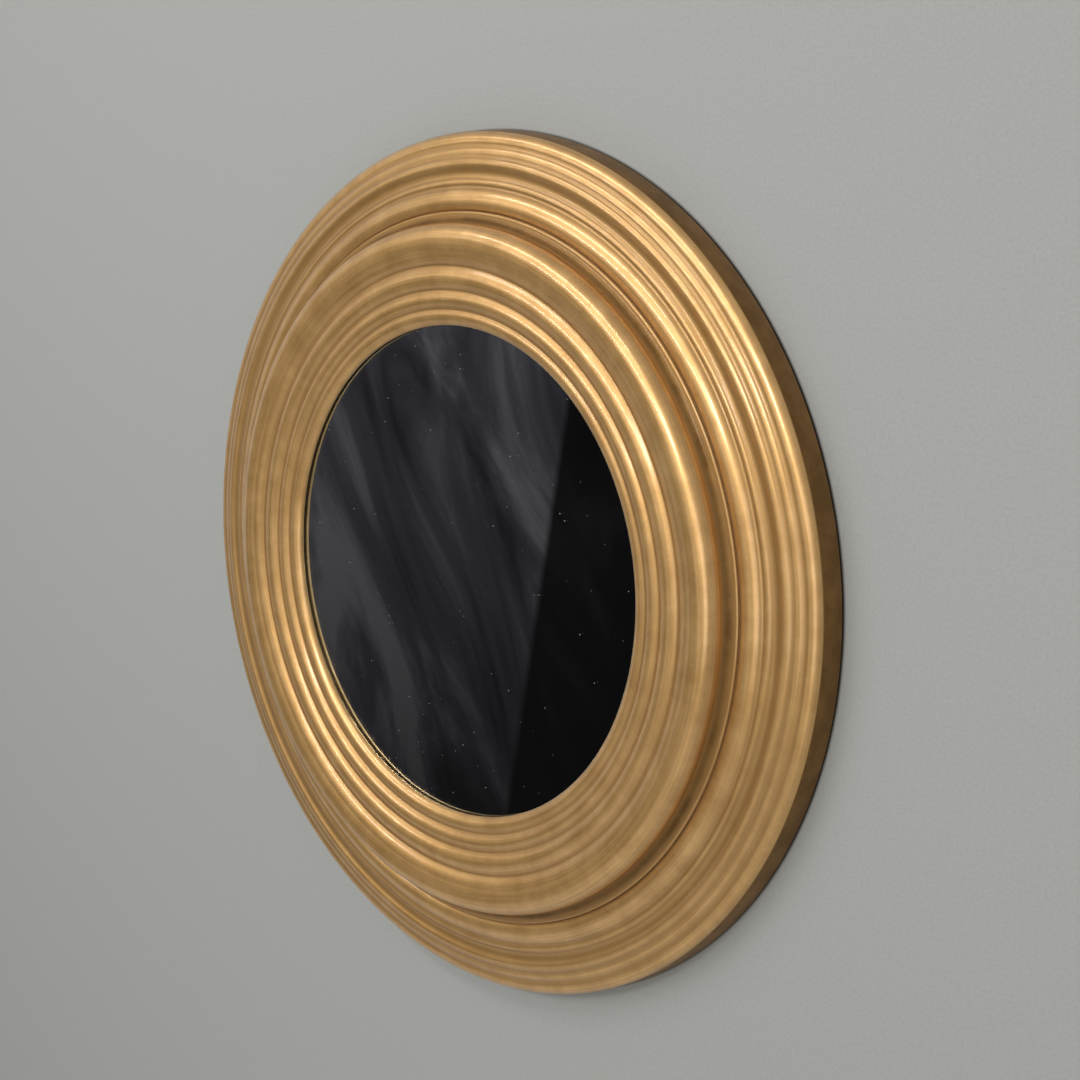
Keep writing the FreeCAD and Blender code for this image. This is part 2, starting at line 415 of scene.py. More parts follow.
@dataclass(frozen=True)
class PressedFelt:
    """Dark pressed wool felt: no gloss, a tangle of short fibres and a faint pale bloom."""
    dark: str = "#26221f"
    light: str = "#4a443e"
    fibre: float = 0.35

    def material(self) -> bpy.types.Material:
        """Build the felt.

        Returns:
            The material.
        """
        material, add, shader, place = new_material("pressed wool felt")
        fibre = add("TexNoise", {
            "Vector": place, "Scale": per_metre(self.fibre), "Detail": 4.0, "Distortion": 2.5})
        colour = two_tones(add, fibre, (0.35, 0.7), srgb(self.dark), srgb(self.light))
        bump = add("Bump", {"Strength": 0.8, "Distance": 0.25 * MM, "Height": fibre})
        fill(shader, {"Base Color": colour, "Roughness": 0.95, "Sheen Weight": 0.4, "Normal": bump})
        return material


@dataclass(frozen=True)
class WallPlaster:
    """Matt emulsion rolled on plaster, seen from the front and open from behind.

    The eye gets a flat grey with a roller's faint bumps. Light comes through it from behind, so
    behind the frame its colour is painted nearly black: painted shade where the frame keeps light
    off the wall.
    """
    colour: str = "#a3a4a0"
    roller: float = 2.2
    dark: float = 0.05                     # brightness of the painted shade behind the frame
    painted_shade_edge: Place = (324.5, 326.5)      # radii between which the painted shade ends

    def material(self) -> bpy.types.Material:
        """Build the plaster.

        Returns:
            The material.
        """
        material, add, shader, place = new_material("matt emulsion on plaster with painted shade")
        roller = add("TexNoise", {"Vector": place, "Scale": per_metre(self.roller), "Detail": 4.0})
        speckle = add("MapRange", {
            "Value": roller, "From Min": 0.3, "From Max": 0.7, "To Min": 0.95, "To Max": 1.05})
        radius = add("VectorMath", {"operation": "LENGTH", 0: place}).outputs["Value"]
        # painted shade: the colour turns nearly black behind the frame, inside these radii
        lit = add("MapRange", {
            "Value": radius, "From Min": self.painted_shade_edge[0] * MM,
            "From Max": self.painted_shade_edge[1] * MM, "To Min": self.dark, "To Max": 1.0})
        tone = add("Math", {"operation": "MULTIPLY", 0: speckle, 1: lit})
        colour = add("Mix", {
            "data_type": "RGBA", "blend_type": "MULTIPLY", 0: 1.0, 6: srgb(self.colour),
            7: tone}).outputs[2]
        bump = add("Bump", {"Strength": 0.15, "Distance": 0.4 * MM, "Height": roller})
        fill(shader, {"Base Color": colour, "Roughness": 0.8, "Normal": bump})
        behind = add("NewGeometry").outputs["Backfacing"]
        mix = add("MixShader", {0: behind, 1: shader, 2: add("BsdfTransparent")})
        fill(material.node_tree.nodes["Material Output"], {"Surface": mix})
        return material


@dataclass(frozen=True)
class StudioCloth:
    """Black cotton cloth hung in slanted folds, as dim as the glass shows it.

    It glows by itself, as a painted reflection: the light and shade of its folds and its lighter
    top are painted into the glow. What reaches it through the glass sees its folds, and the gold's
    gloss sees an even grey.
    """
    tones: tuple[tuple[float, str], ...] = ((0.36, "#19171b"), (0.5, "#322e34"), (0.64, "#524d52"))
    slant: float = -17.0
    fold: Triple = (0.16, 0.75, 1.0)       # how wide and how long a fold is, in metres
    hem_slope: float = 0.15
    hem: Place = (-0.104, -0.092)          # where the cloth's left edge turns dark, in metres
    hem_dark: float = 0.08
    on_gold: float = 0.06                  # how bright it is where the gold reflects it

    def material(self) -> bpy.types.Material:
        """Build the cloth.

        Returns:
            The material.
        """
        material, add, _, place = new_material("black studio cloth glowing as painted reflection")
        slanted = add("Mapping", {
            "vector_type": "TEXTURE", "Vector": place,
            "Rotation": (0.0, 0.0, math.radians(self.slant)), "Scale": self.fold})
        folds = add("TexNoise", {
            "Vector": slanted, "Scale": 1.0, "Detail": 6.0, "Roughness": 0.55, "Distortion": 1.4})
        # painted light and shade of the folds, from the darkest tone to the lightest
        colour = add("ValToRGB", {0: folds})
        stops = colour.color_ramp.elements
        stops.new(1.0)
        for stop, (position, tone) in zip(stops, self.tones):
            stop.position, stop.color = position, srgb(tone)
        x, y, _ = add("SeparateXYZ", {0: place}).outputs
        edge = add("Math", {"operation": "MULTIPLY_ADD", 0: y, 1: self.hem_slope, 2: x})
        side = add("MapRange", {
            "Value": edge, "From Min": self.hem[0], "From Max": self.hem[1],
            "To Min": self.hem_dark, "To Max": 1.0})
        # painted light: the glow is brighter towards the top
        lift = add("MapRange", {
            "Value": y, "From Min": -0.5, "From Max": 0.55, "To Min": 0.25, "To Max": 1.6})
        dim = add("Mix", {
            "data_type": "RGBA", "blend_type": "MULTIPLY", 0: 1.0, 6: colour, 7: side}).outputs[2]
        glow = add("Emission", {"Color": dim, "Strength": lift})
        paler = add("Emission", {"Color": grey(self.on_gold)})
        mirrored = add("LightPath").outputs["Is Transmission Ray"]
        mix = add("MixShader", {0: mirrored, 1: paler, 2: glow})
        fill(material.node_tree.nodes["Material Output"], {"Surface": mix})
        return material


# ---------------------------------------------------------------- working by hand

class Pick(Enum):
    """What edit mode selects."""
    POINTS = "VERT"
    FACES = "FACE"


class Hide(Enum):
    """The rays that don't see a stage piece."""
    NOTHING = ()
    MIRROR_ONLY = ("visible_camera", "visible_diffuse", "visible_shadow", "visible_volume_scatter")
    OPEN_BACK = ("visible_shadow", "visible_diffuse")


def hold(piece: bpy.types.Object) -> None:
    """Select one piece alone and make it the active one.

    Args:
        piece: the piece.
    """
    bpy.ops.object.select_all(action="DESELECT")
    piece.select_set(True)
    bpy.context.view_layer.objects.active = piece


def edit(piece: bpy.types.Object, pick: Pick = Pick.POINTS, everything: bool = True) -> None:
    """Enter edit mode on one piece.

    Args:
        piece: what is edited.
        pick: points or faces.
        everything: whether all of it is selected, or nothing.
    """
    hold(piece)
    bpy.ops.object.mode_set(mode="EDIT")
    bpy.ops.mesh.select_mode(type=pick.value)
    bpy.ops.mesh.select_all(action="SELECT" if everything else "DESELECT")


def settle() -> None:
    """Merge doubled points, turn faces outwards, leave edit mode and smooth the piece."""
    bpy.ops.mesh.select_all(action="SELECT")
    bpy.ops.mesh.remove_doubles(threshold=0.002 * MM)
    bpy.ops.mesh.normals_make_consistent(inside=False)
    bpy.ops.object.mode_set(mode="OBJECT")
    bpy.ops.object.shade_smooth_by_angle(angle=CREASE)


def rest(piece: bpy.types.Object) -> None:
    """Put a piece's place into its mesh, so its object sits at the origin."""
    hold(piece)
    bpy.ops.object.transform_apply(location=True, rotation=True, scale=True)


def primitive(add: Callable, name: str, **settings: object) -> bpy.types.Object:
    """Add a primitive, which is then the only one selected, and name it.

    Args:
        add: the operator that adds it.
        name: the piece's name.
        settings: the operator's settings.

    Returns:
        The piece.
    """
    bpy.ops.object.select_all(action="DESELECT")
    add(**settings)
    piece = bpy.context.object
    piece.name = piece.data.name = name
    return piece


def lathe(name: str, outline: Sequence[Place], steps: int,
          closed: bool = False) -> bpy.types.Object:
    """Turn an outline about the Y axis.

    Args:
        name: the piece's name.
        outline: radius and height of each point, in mm.
        steps: how many steps there are in a full turn.
        closed: whether the last point joins the first, as on a ring.

    Returns:
        The turned piece.
    """
    points = [Vector((radius * MM, -height * MM, 0)) for radius, height in outline]
    piece = primitive(bpy.ops.mesh.primitive_plane_add, name, size=MM, location=points[0])
    rest(piece)
    edit(piece)
    bpy.ops.mesh.merge(type="CENTER")
    for here, there in zip(points, points[1:]):
        bpy.ops.mesh.extrude_region_move(TRANSFORM_OT_translate={"value": there - here})
    bpy.ops.mesh.select_all(action="SELECT")
    if closed:
        bpy.ops.object.mode_set(mode="OBJECT")
        for point in piece.data.vertices:
            point.select = point.index in (0, len(points) - 1)
        bpy.ops.object.mode_set(mode="EDIT")
        bpy.ops.mesh.edge_face_add()
        bpy.ops.mesh.select_all(action="SELECT")
    bpy.ops.mesh.spin(steps=steps, angle=math.tau, center=(0, 0, 0), axis=(0, 1, 0))
    settle()
    return piece


def cut(piece: bpy.types.Object, *rounds: Sequence[bpy.types.Object]) -> None:
    """Cut tools out of a piece and take them away.

    Args:
        piece: what is cut.
        rounds: the cutting pieces of each cut, which are clear of one another.
    """
    for tools in rounds:
        tool = tools[0]
        hold(tool)
        for other in tools[1:]:
            other.select_set(True)
        if len(tools) > 1:
            bpy.ops.object.join()
        hold(piece)
        knife = piece.modifiers.new("cut", "BOOLEAN")
        knife.operation, knife.solver, knife.object = "DIFFERENCE", "EXACT", tool
        bpy.ops.object.modifier_apply(modifier=knife.name)
        bpy.data.objects.remove(tool)


def break_edges(piece: bpy.types.Object, width: float, segments: int = 2) -> None:
    """Take the sharpness off a piece's edges of more than 50 degrees.

    Args:
        piece: the piece.
        width: width of the broken edge, in mm.
        segments: faces across it.
    """
    hold(piece)
    bevel = piece.modifiers.new("broken edges", "BEVEL")
    bevel.width, bevel.segments = width * MM, segments
    bevel.limit_method, bevel.angle_limit = "ANGLE", math.radians(50)
    bevel.use_clamp_overlap = True
    bpy.ops.object.modifier_apply(modifier=bevel.name)
    bpy.ops.object.shade_smooth_by_angle(angle=CREASE)


def rod(name: str, radius: float, low: float, high: float, x: float = 0,
        z: float = 0) -> bpy.types.Object:
    """A round bar of 48 sides, square to the wall.

    Args:
        name: its name.
        radius: its radius, in mm.
        low: height of its end nearer the wall, in mm.
        high: height of its other end.
        x: where its axis is.
        z: where its axis is.

    Returns:
        The bar.
    """
    piece = primitive(
        bpy.ops.mesh.primitive_cylinder_add, name, vertices=48, radius=radius * MM,
        depth=(high - low) * MM, rotation=(math.pi / 2, 0, 0),
        location=(x * MM, -(low + high) / 2 * MM, z * MM))
    rest(piece)
    return piece


def round_ended(name: str, x: float, bottom: float, top: float, width: float, low: float,
                high: float) -> bpy.types.Object:
    """An upright flat bar with round ends, square to the wall.

    Args:
        name: its name.
        x: where its middle is, in mm.
        bottom: its lower end.
        top: its upper end.
        width: its width.
        low: height of its face nearer the wall.
        high: height of its other face.

    Returns:
        The bar.
    """
    piece = primitive(
        bpy.ops.mesh.primitive_plane_add, name, size=MM, rotation=(math.pi / 2, 0, 0),
        location=(x * MM, -low * MM, (bottom + top) / 2 * MM))
    piece.scale = (width, top - bottom, 1)
    rest(piece)
    edit(piece)
    just_apart = 0.9995        # keeps the two corners of an end from meeting
    bpy.ops.mesh.bevel(offset=width / 2 * just_apart * MM, segments=14, affect="VERTICES")
    bpy.ops.mesh.select_all(action="SELECT")
    bpy.ops.mesh.extrude_region_move(TRANSFORM_OT_translate={"value": (0, -(high - low) * MM, 0)})
    settle()
    return piece


def dress(piece: bpy.types.Object, materials: Iterable[bpy.types.Material]) -> None:
    """Give a piece its materials.

    Args:
        piece: the piece.
        materials: its materials, in slot order.
    """
    piece.data.materials.clear()
    for material in materials:
        piece.data.materials.append(material)


def stand_for(piece: bpy.types.Object, node: str, slot: str, *materials: bpy.types.Material,
              body: str = "frame") -> None:
    """Dress a piece and let it take a node's place on its body.

    Args:
        piece: the piece.
        node: the CAD node that it stands for.
        slot: the record's material slot; not used.
        materials: its materials.
        body: the CAD body that it moves with.
    """
    dress(piece, materials)
    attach(piece, body)
    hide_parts(node)
    LOG.info("%s for %s on %s: %d faces", piece.name, node, body, len(piece.data.polygons))


def copied(piece: bpy.types.Object, node: str, made: str, move: Matrix, slot: str,
           material: bpy.types.Material, body: str = "frame") -> None:
    """Copy a piece with a mesh of its own, and let the copy stand for a node.

    Args:
        piece: the first one.
        node: the CAD node, whose name starts the copy's name.
        made: how it was made, which ends the name.
        move: where the copy's mesh goes.
        slot: the record's material slot.
        material: its material.
        body: the CAD body that it moves with.
    """
    twin = piece.copy()
    twin.data = piece.data.copy()
    twin.name = twin.data.name = f"{node}_{made}"
    twin.data.transform(move)
    bpy.context.collection.objects.link(twin)
    stand_for(twin, node, slot, material, body=body)


def bend(first: Vector, corner: Vector, last: Vector, shares: Sequence[float]) -> list[Place]:
    """Points on a soft curve that cuts a corner.

    Args:
        first: where it leaves the one side.
        corner: the corner.
        last: where it joins the other side.
        shares: how far along the curve each point is, from 0 to 1.

    Returns:
        The points.
    """
    points = [first.lerp(corner, share).lerp(corner.lerp(last, share), share) for share in shares]
    return [(point.x, point.y) for point in points]


# ---------------------------------------------------------------- the turned rings

@dataclass(frozen=True)
class Member:
    """One moulding of a turned face: its width, its rise and its bulge, negative in a hollow."""
    width: float
    rise: float
    bulge: float

    def points(self, start: Place, pitch: float) -> list[Place]:
        """Points along the moulding's arc.

        Args:
            start: radius and height where it starts.
            pitch: the longest step between two points, in mm.

        Returns:
            Its points after the start, the end included.
        """
        chord = math.hypot(self.width, self.rise)
        size = abs(self.bulge)
        side = math.copysign(1.0, self.bulge)
        radius = (chord * chord / 4 + size * size) / (2 * size)
        half = math.asin(min(1.0, chord / 2 / radius))
        along = (self.width / chord, self.rise / chord)
        out = (-along[1] * side, along[0] * side)
        centre = (start[0] + self.width / 2 - out[0] * (radius - size),
                  start[1] + self.rise / 2 - out[1] * (radius - size))
        count = max(4, math.ceil(2 * half * radius / pitch))
        turns = [half * (2 * k / count - 1) for k in range(1, count + 1)]
        return [
            (centre[0] + radius * (math.sin(t) * along[0] + math.cos(t) * out[0]),
            centre[1] + radius * (math.sin(t) * along[1] + math.cos(t) * out[1])) for t in turns]


def quarter(radius: float, hollow: bool = False) -> Member:
    """A quarter circle that falls outwards."""
    bulge = radius * (1 - math.sqrt(0.5))
    return Member(radius, -radius, -bulge if hollow else bulge)


@dataclass(frozen=True)
class Groove:
    """A low place that holds wax and painted shade: where it is, how far they reach, how much
    there is, and whether paint has filled its bottom."""
    place: Place
    reach: float = 0.8
    hold: float = 0.75
    filled: bool = False

    def wax(self, radius: float, height: float) -> float:
        """Share of wax and painted shade at a point.

        Args:
            radius: the point's radius, in mm.
            height: its height.

        Returns:
            From 0, clean, to 1, covered.
        """
        away = math.hypot(radius - self.place[0], height - self.place[1])
        return self.hold * math.exp(-((away / self.reach) ** 2))


@dataclass
class Outline:
    """A drawn section: its points, and the grooves between mouldings that hold wax and painted
    shade.
    """
    start: Place
    pitch: float = 1.1
    line: Place = (1.2, 0.6)       # reach, in mm, and share of the wax and painted shade in a groove
    halo: Place = (3.0, 0.4)       # and of the fainter wax and painted shade round it
    hollow_reach: float = 0.8      # reach of a hollow's wax and painted shade, as a share of its width
    full_hollow: float = 1.5       # how deep a hollow has to be to be covered
    softening: float = 0.35        # how far from a corner its rounding starts
    filling: float = 2.3           # how far from a groove's bottom its filling starts
    points: list[Place] = field(default_factory=list)
    grooves: list[Groove] = field(default_factory=list)

    def __post_init__(self) -> None:
        """Begin at the first point."""
        self.points.append(self.start)

    def to(self, radius: float, height: float) -> None:
        """Draw a straight line."""
        self.points.append((radius, height))

    def mouldings(self, members: Iterable[Member]) -> None:
        """Draw mouldings one after another, and note the grooves that they meet in.

        Args:
            members: the mouldings, from the inside out.
        """
        for member in members:
            here = Vector(self.points[-1])
            arc = member.points(self.points[-1], self.pitch)
            into = (here - Vector(self.points[-2])).normalized()
            if into.cross((Vector(arc[0]) - here).normalized()) > math.sin(CORNER):
                self.grooves += [
                    Groove(self.points[-1], *self.line, True), Groove(self.points[-1], *self.halo)]
            if member.bulge < 0:
                self.grooves.append(
                    Groove(arc[len(arc) // 2], member.width * self.hollow_reach, min(1.0,
                    -member.bulge / self.full_hollow)))
            self.points += arc

    def filled(self) -> list[Place]:
        """Fill each groove to a soft cove, as primer and paint fill it.

        Returns:
            The section's points after that.
        """
        made = list(self.points)
        for bottom in {groove.place for groove in self.grooves if groove.filled}:
            near = [index for index, point in enumerate(made)
                    if math.dist(point, bottom) < self.filling]
            made[near[0]:near[-1] + 1] = bend(
                Vector(made[near[0]]), Vector(bottom), Vector(made[near[-1]]),
                (0.0, 0.17, 0.33, 0.5, 0.67, 0.83, 1.0))
        return made

    def softened(self) -> list[Place]:
        """Fill the grooves, and round each corner as paint rounds it.

        Returns:
            The section's points after that.
        """
        made: list[Place] = []
        points = self.filled()
        for index, place in enumerate(points):
            here = Vector(place)
            into = here - Vector(points[index - 1])
            away = Vector(points[(index + 1) % len(points)]) - here
            if into.length < 1e-6 or away.length < 1e-6 or into.angle(away) < CORNER:
                made.append(place)
                continue
            back, forth = (min(self.softening, side.length * 0.45) for side in (into, away))
            made += bend(here - into.normalized() * back, here, here + away.normalized() * forth,
                         (0.0, 0.33, 0.67, 1.0))
        return made


@dataclass
class Frame:
    """The two turned rings that make the frame, and the screws that pull them together."""
    gold: bpy.types.Material       # the paint on the faces
    wood: bpy.types.Material       # the bare back
    zinc: bpy.types.Material       # the plate on the screws
    plates: "HangingPlates"        # whose recesses the base ring gets
    back: float = 2.0
    seat: float = 27.0
    lip: float = 36.6
    glass_front: float = 35.0
    sight_radius: float = 184.5
    rebate_radius: float = 191.0
    well_radius: float = 215.0
    outer_radius: float = 325.0
    joint_gap: float = 0.3
    register: float = 2.9
    side_darkening: float = 0.93         # how far the side wall is darkened to the grooves' brown
    side_rise: float = 1.6         # how far that darkening comes up round the rim
    side_depth: float = 5.0        # and how far in
    steps: int = 400
    raised_members: tuple[Member, ...] = (
        Member(12.1, 3.3, 2.8), Member(13.4, 1.7, 3.0), Member(17.3, 1.3, 3.6),
        Member(9.9, 4.4, 0.9), Member(9.8, 1.6, 0.4), quarter(10.8), quarter(6.4, hollow=True),
        Member(2.4, -1.1, 0.5))
    base_members: tuple[Member, ...] = (
        Member(16.8, -2.6, 3.4), Member(6.0, -0.7, 1.3), Member(7.4, 0.6, -0.7),
        Member(7.6, -1.6, 1.5), Member(7.9, -2.2, 1.2), Member(10.8, -5.9, 2.8))
    screw_count: int = 8
    first_screw: float = 22.5
    counterbore_radius: float = 4.5
    counterbore_depth: float = 4.0
    screw_turn: float = 47.0       # each screw's recess stands turned by this much more

    def build(self) -> None:
        """Turn, drill and dress both rings, and set their screws."""
        outer = self.sight_radius + sum(member.width for member in self.raised_members)
        circle = (self.well_radius + outer) / 2
        places = [polar(circle, self.first_screw + 360 / self.screw_count * number)
                  for number in range(self.screw_count)]
        self.raised(outer)
        self.base(outer, places)
        self.screws(places)

    def raised(self, outer: float) -> None:
        """Turn the raised ring.

        Args:
            outer: its outer radius.
        """
        outline = Outline((self.sight_radius, self.glass_front))
        outline.to(self.sight_radius, self.lip)
        outline.mouldings(self.raised_members)
        outline.grooves.append(Groove(outline.points[-1]))
        outline.to(outer, self.seat)
        outline.to(self.rebate_radius, self.seat)
        outline.to(self.rebate_radius, self.glass_front)
        ring = lathe("raised_ring_turned", outline.softened(), self.steps, closed=True)
        self.finish(ring, "raised_ring", outline.grooves, self.rebate_radius + 0.5, outer - 0.5)

    def base(self, raised_outer: float, places: Sequence[Place]) -> None:
        """Turn and drill the base ring.

        Args:
            raised_outer: outer radius of the ring that is let into this one.
            places: X and Z of each screw's counterbore.
        """
        outline = Outline((self.well_radius, self.seat))
        outline.to(raised_outer + self.joint_gap, self.seat)
        outline.to(raised_outer + self.joint_gap, self.seat + self.register)
        outline.grooves.append(Groove(outline.points[-1], 1.4))
        outline.mouldings(self.base_members)
        side_top = outline.points[-1][1] + self.side_rise
        outline.to(self.outer_radius, self.back)
        outline.to(self.well_radius, self.back)
        ring = lathe("base_ring_turned", outline.softened(), self.steps, closed=True)
        tools = [rod("counterbore", self.counterbore_radius, self.back - 1,
                     self.back + self.counterbore_depth, x, z) for x, z in places]
        seats, pockets = self.plates.recess_tools()
        cut(ring, tools + seats, pockets)
        hold(ring)
        bpy.ops.object.shade_smooth_by_angle(angle=CREASE)
        self.finish(ring, "base_ring", outline.grooves, raised_outer + 0.5, side_top=side_top)

    def finish(self, ring: bpy.types.Object, node: str, grooves: Sequence[Groove], bore: float,
               joint: float = math.inf, side_top: float = 0.0) -> None:
        """Paint a ring, leave its back bare and note where wax and painted shade gather.

        Args:
            ring: the turned ring.
            node: the CAD node that it stands for.
            grooves: where wax and painted shade gather.
            bore: faces behind the glass's front and inside this radius are bare, in mm.
            joint: faces lower than the register's top and just outside this radius are bare.
            side_top: height under which the side wall is darkened.
        """
        stand_for(ring, node, GOLD_SLOT, self.gold, self.wood)
        for face in ring.data.polygons:
            radius = math.hypot(face.center.x, face.center.z) / MM
            height = -face.center.y / MM
            hidden = height < self.glass_front and radius < bore
            hidden |= height < self.seat + self.register and joint < radius < joint + 1
            face.material_index = 1 if face.normal.y > 0.5 or hidden else 0
        # wax and painted shade in the grooves, and the darkened side wall, by point
        wax = ring.data.attributes.new("wax", "FLOAT", "POINT")
        known: dict[tuple[int, int], float] = {}
        for point, value in zip(ring.data.vertices, wax.data):
            radius, height = math.hypot(point.co.x, point.co.z) / MM, -point.co.y / MM
            key = round(radius * 50), round(height * 50)
            if key not in known:
                on_side = height < side_top and radius > self.outer_radius - self.side_depth
                known[key] = max(self.side_darkening if on_side else 0.0,
                                 *(groove.wax(radius, height) for groove in grooves))
            value.value = known[key]

    def screws(self, places: Sequence[Place]) -> None:
        """Set the screws that pull the rings together.

        Args:
            places: X and Z of each screw.
        """
        first = Screw(
            radius=2.0, length=32.0, head_radius=4.0, head_height=2.8).build("ring_screw_0")
        for number, (x, z) in enumerate(places):
            move = moved(x, self.back + self.counterbore_depth, z)
            copied(first, f"ring_screw_{number + 1}", "driven",
                   move @ turned(self.screw_turn * number), ZINC_SLOT, self.zinc)
        bpy.data.objects.remove(first)


# ---------------------------------------------------------------- hardware

@dataclass(frozen=True)
class Screw:
    """A round-head wood screw with a cross recess, driven from behind.

    Its seat, the underside of the head, is at height 0, its head is towards the wall and its
    shank away from it.
    """
    radius: float
    length: float
    head_radius: float
    head_height: float
    sides: int = 40
    brim: float = 0.15             # rounding under the head's edge
    blade: Triple = (1.15, 1.1, 0.24)      # a recess blade's size, in head radii and heights
    blade_tip: float = 0.55        # its tip's width, as a share of its root's

    def build(self, name: str) -> bpy.types.Object:
        """Turn the screw and press its recess.

        Args:
            name: its name.

        Returns:
            The screw, with its seat at the origin.
        """
        rim = self.head_height / 3
        dome = Member(self.head_radius, self.head_height - rim, -self.head_height / 8)
        tip = 2 * self.radius
        outline = [(0.0, -self.head_height)]
        outline += dome.points(outline[0], 0.5)
        outline += [
            (self.head_radius, -self.brim), (self.head_radius - self.brim, 0.0), (self.radius, 0.0),
            (self.radius, self.length - tip), (0.3, self.length - 0.1), (0.0, self.length)]
        screw = lathe(name, outline, self.sides)
        wide, deep, thick = self.blade
        tools = []
        for turn in (0.0, math.pi / 2):
            blade = primitive(bpy.ops.mesh.primitive_cube_add, "blade", size=MM,
                              location=(0, self.head_height * MM, 0), rotation=(0, turn, 0))
            blade.scale = (
                self.head_radius * wide, self.head_height * deep, self.head_radius * thick)
            rest(blade)
            edit(blade, Pick.FACES, everything=False)
            bpy.ops.object.mode_set(mode="OBJECT")
            for face in blade.data.polygons:
                face.select = face.normal.y < -0.9
            bpy.ops.object.mode_set(mode="EDIT")
            bpy.ops.transform.resize(
                value=(self.blade_tip, 1, self.blade_tip), center_override=(0, 0, 0))
            bpy.ops.object.mode_set(mode="OBJECT")
            tools.append(blade)
        cut(screw, tools[:1], tools[1:])
        break_edges(screw, 0.06, 1)
        return screw


@dataclass
class HangingPlates:
    """The two keyhole plates let into the back, with their screws."""
    zinc: bpy.types.Material
    radius: float = 270.0
    angle: float = 42.0
    width: float = 16.0
    height: float = 50.0
    thickness: float = 1.5
    back: float = 2.0
    recess_clearance: float = 0.25
    keyhole_radius: float = 4.75
    keyhole_drop: float = 6.0
    slot_width: float = 5.0
    slot_rise: float = 8.0
    pocket_depth: float = 8.5
    pocket_margin: float = 1.0
    screw_inset: float = 6.0
    screw_radius: float = 1.5
    hole_clearance: float = 0.05
    screw_turns: Place = (53.0, 33.0)      # how far the first screw is turned, and each one more

    def places(self) -> dict[str, Place]:
        """X and Z of each plate's middle, by side."""
        x, z = polar(self.radius, self.angle)
        return {"right": (x, z), "left": (-x, z)}

    def recess_tools(self) -> tuple[list[bpy.types.Object], list[bpy.types.Object]]:
        """Make what cuts the plates' recesses out of the base ring.

        Returns:
            What cuts each plate's seat, and what cuts the pocket behind each keyhole.
        """
        seats, pockets = [], []
        half = self.keyhole_radius + self.pocket_margin
        floor = self.back + self.thickness
        grown = self.height / 2 + self.recess_clearance
        for x, z in self.places().values():
            seats.append(
                round_ended("seat", x, z - grown, z + grown, self.width + 2 * self.recess_clearance,
                self.back - 1, floor))
            pockets.append(
                round_ended("pocket", x, z - self.keyhole_drop - half,
                z + self.slot_rise + half - self.slot_width / 2, 2 * half, floor - 0.5,
                floor + self.pocket_depth))
        return seats, pockets

    def build(self) -> None:
        """Press both plates and drive their screws."""
        low, high = self.back, self.back + self.thickness
        reach = self.height / 2 - self.screw_inset
        hole = self.screw_radius + self.hole_clearance
        for side, (x, z) in self.places().items():
            plate = round_ended(f"keyhole_plate_{side}_pressed", x, z - self.height / 2,
                                z + self.height / 2, self.width, low, high)
            holes = [
                rod("keyhole", self.keyhole_radius, low - 1, high + 1, x, z - self.keyhole_drop),
                rod("upper", hole, low - 1, high + 1, x, z + reach),
                rod("lower", hole, low - 1, high + 1, x, z - reach)]
            slot = round_ended("slot", x, z - self.keyhole_drop - self.slot_width / 2,
                               z + self.slot_rise, self.slot_width, low - 2, high + 2)
            cut(plate, holes, [slot])
            break_edges(plate, 0.18)
            stand_for(plate, f"keyhole_plate_{side}", ZINC_SLOT, self.zinc)
        first = Screw(radius=self.screw_radius, length=14.0, head_radius=2.9,
                      head_height=1.6).build("keyhole_screw_0")
        turn, more = self.screw_turns
        for side, (x, z) in self.places().items():
            for place, at in (("upper", z + reach), ("lower", z - reach)):
                copied(first, f"keyhole_screw_{side}_{place}", "driven",
                       moved(x, low, at) @ turned(turn), ZINC_SLOT, self.zinc)
                turn += more
        bpy.data.objects.remove(first)


@dataclass
class TurnButtons:
    """The six steel turn buttons that hold the board, each on its screw."""
    zinc: bpy.types.Material
    count: int = 6
    first_angle: float = 30.0
    pivot_radius: float = 203.0
    reach: float = 18.0
    width: float = 11.0
    thickness: float = 1.5
    seat: float = 27.0
    screw_radius: float = 1.75
    clearance: float = 0.05
    screw_turn: float = 58.0       # each screw's recess stands turned by this much more

    def build(self) -> None:
        """Press the buttons and drive their screws."""
        low = self.seat - self.thickness
        first = round_ended(
            "turn_button_0", 0, -self.reach, self.width / 2, self.width, low, self.seat)
        cut(first, [rod("pivot", self.screw_radius + self.clearance, low - 1, self.seat + 1)])
        break_edges(first, 0.2)
        pivot = Screw(radius=self.screw_radius, length=12.0, head_radius=3.75,
                      head_height=2.4).build("turn_button_screw_0")
        for number in range(1, self.count + 1):
            angle = self.first_angle + 360 / self.count * (number - 1)
            place = turned(90 - angle) @ moved(0, 0, self.pivot_radius)
            copied(first, f"turn_button_{number}", "pressed", place, ZINC_SLOT, self.zinc,
                   f"turn_button_{number}")
            copied(pivot, f"turn_button_screw_{number}", "driven",
                   place @ moved(0, low, 0) @ turned(self.screw_turn * number), ZINC_SLOT,
                   self.zinc)
        bpy.data.objects.remove(first)
        bpy.data.objects.remove(pivot)


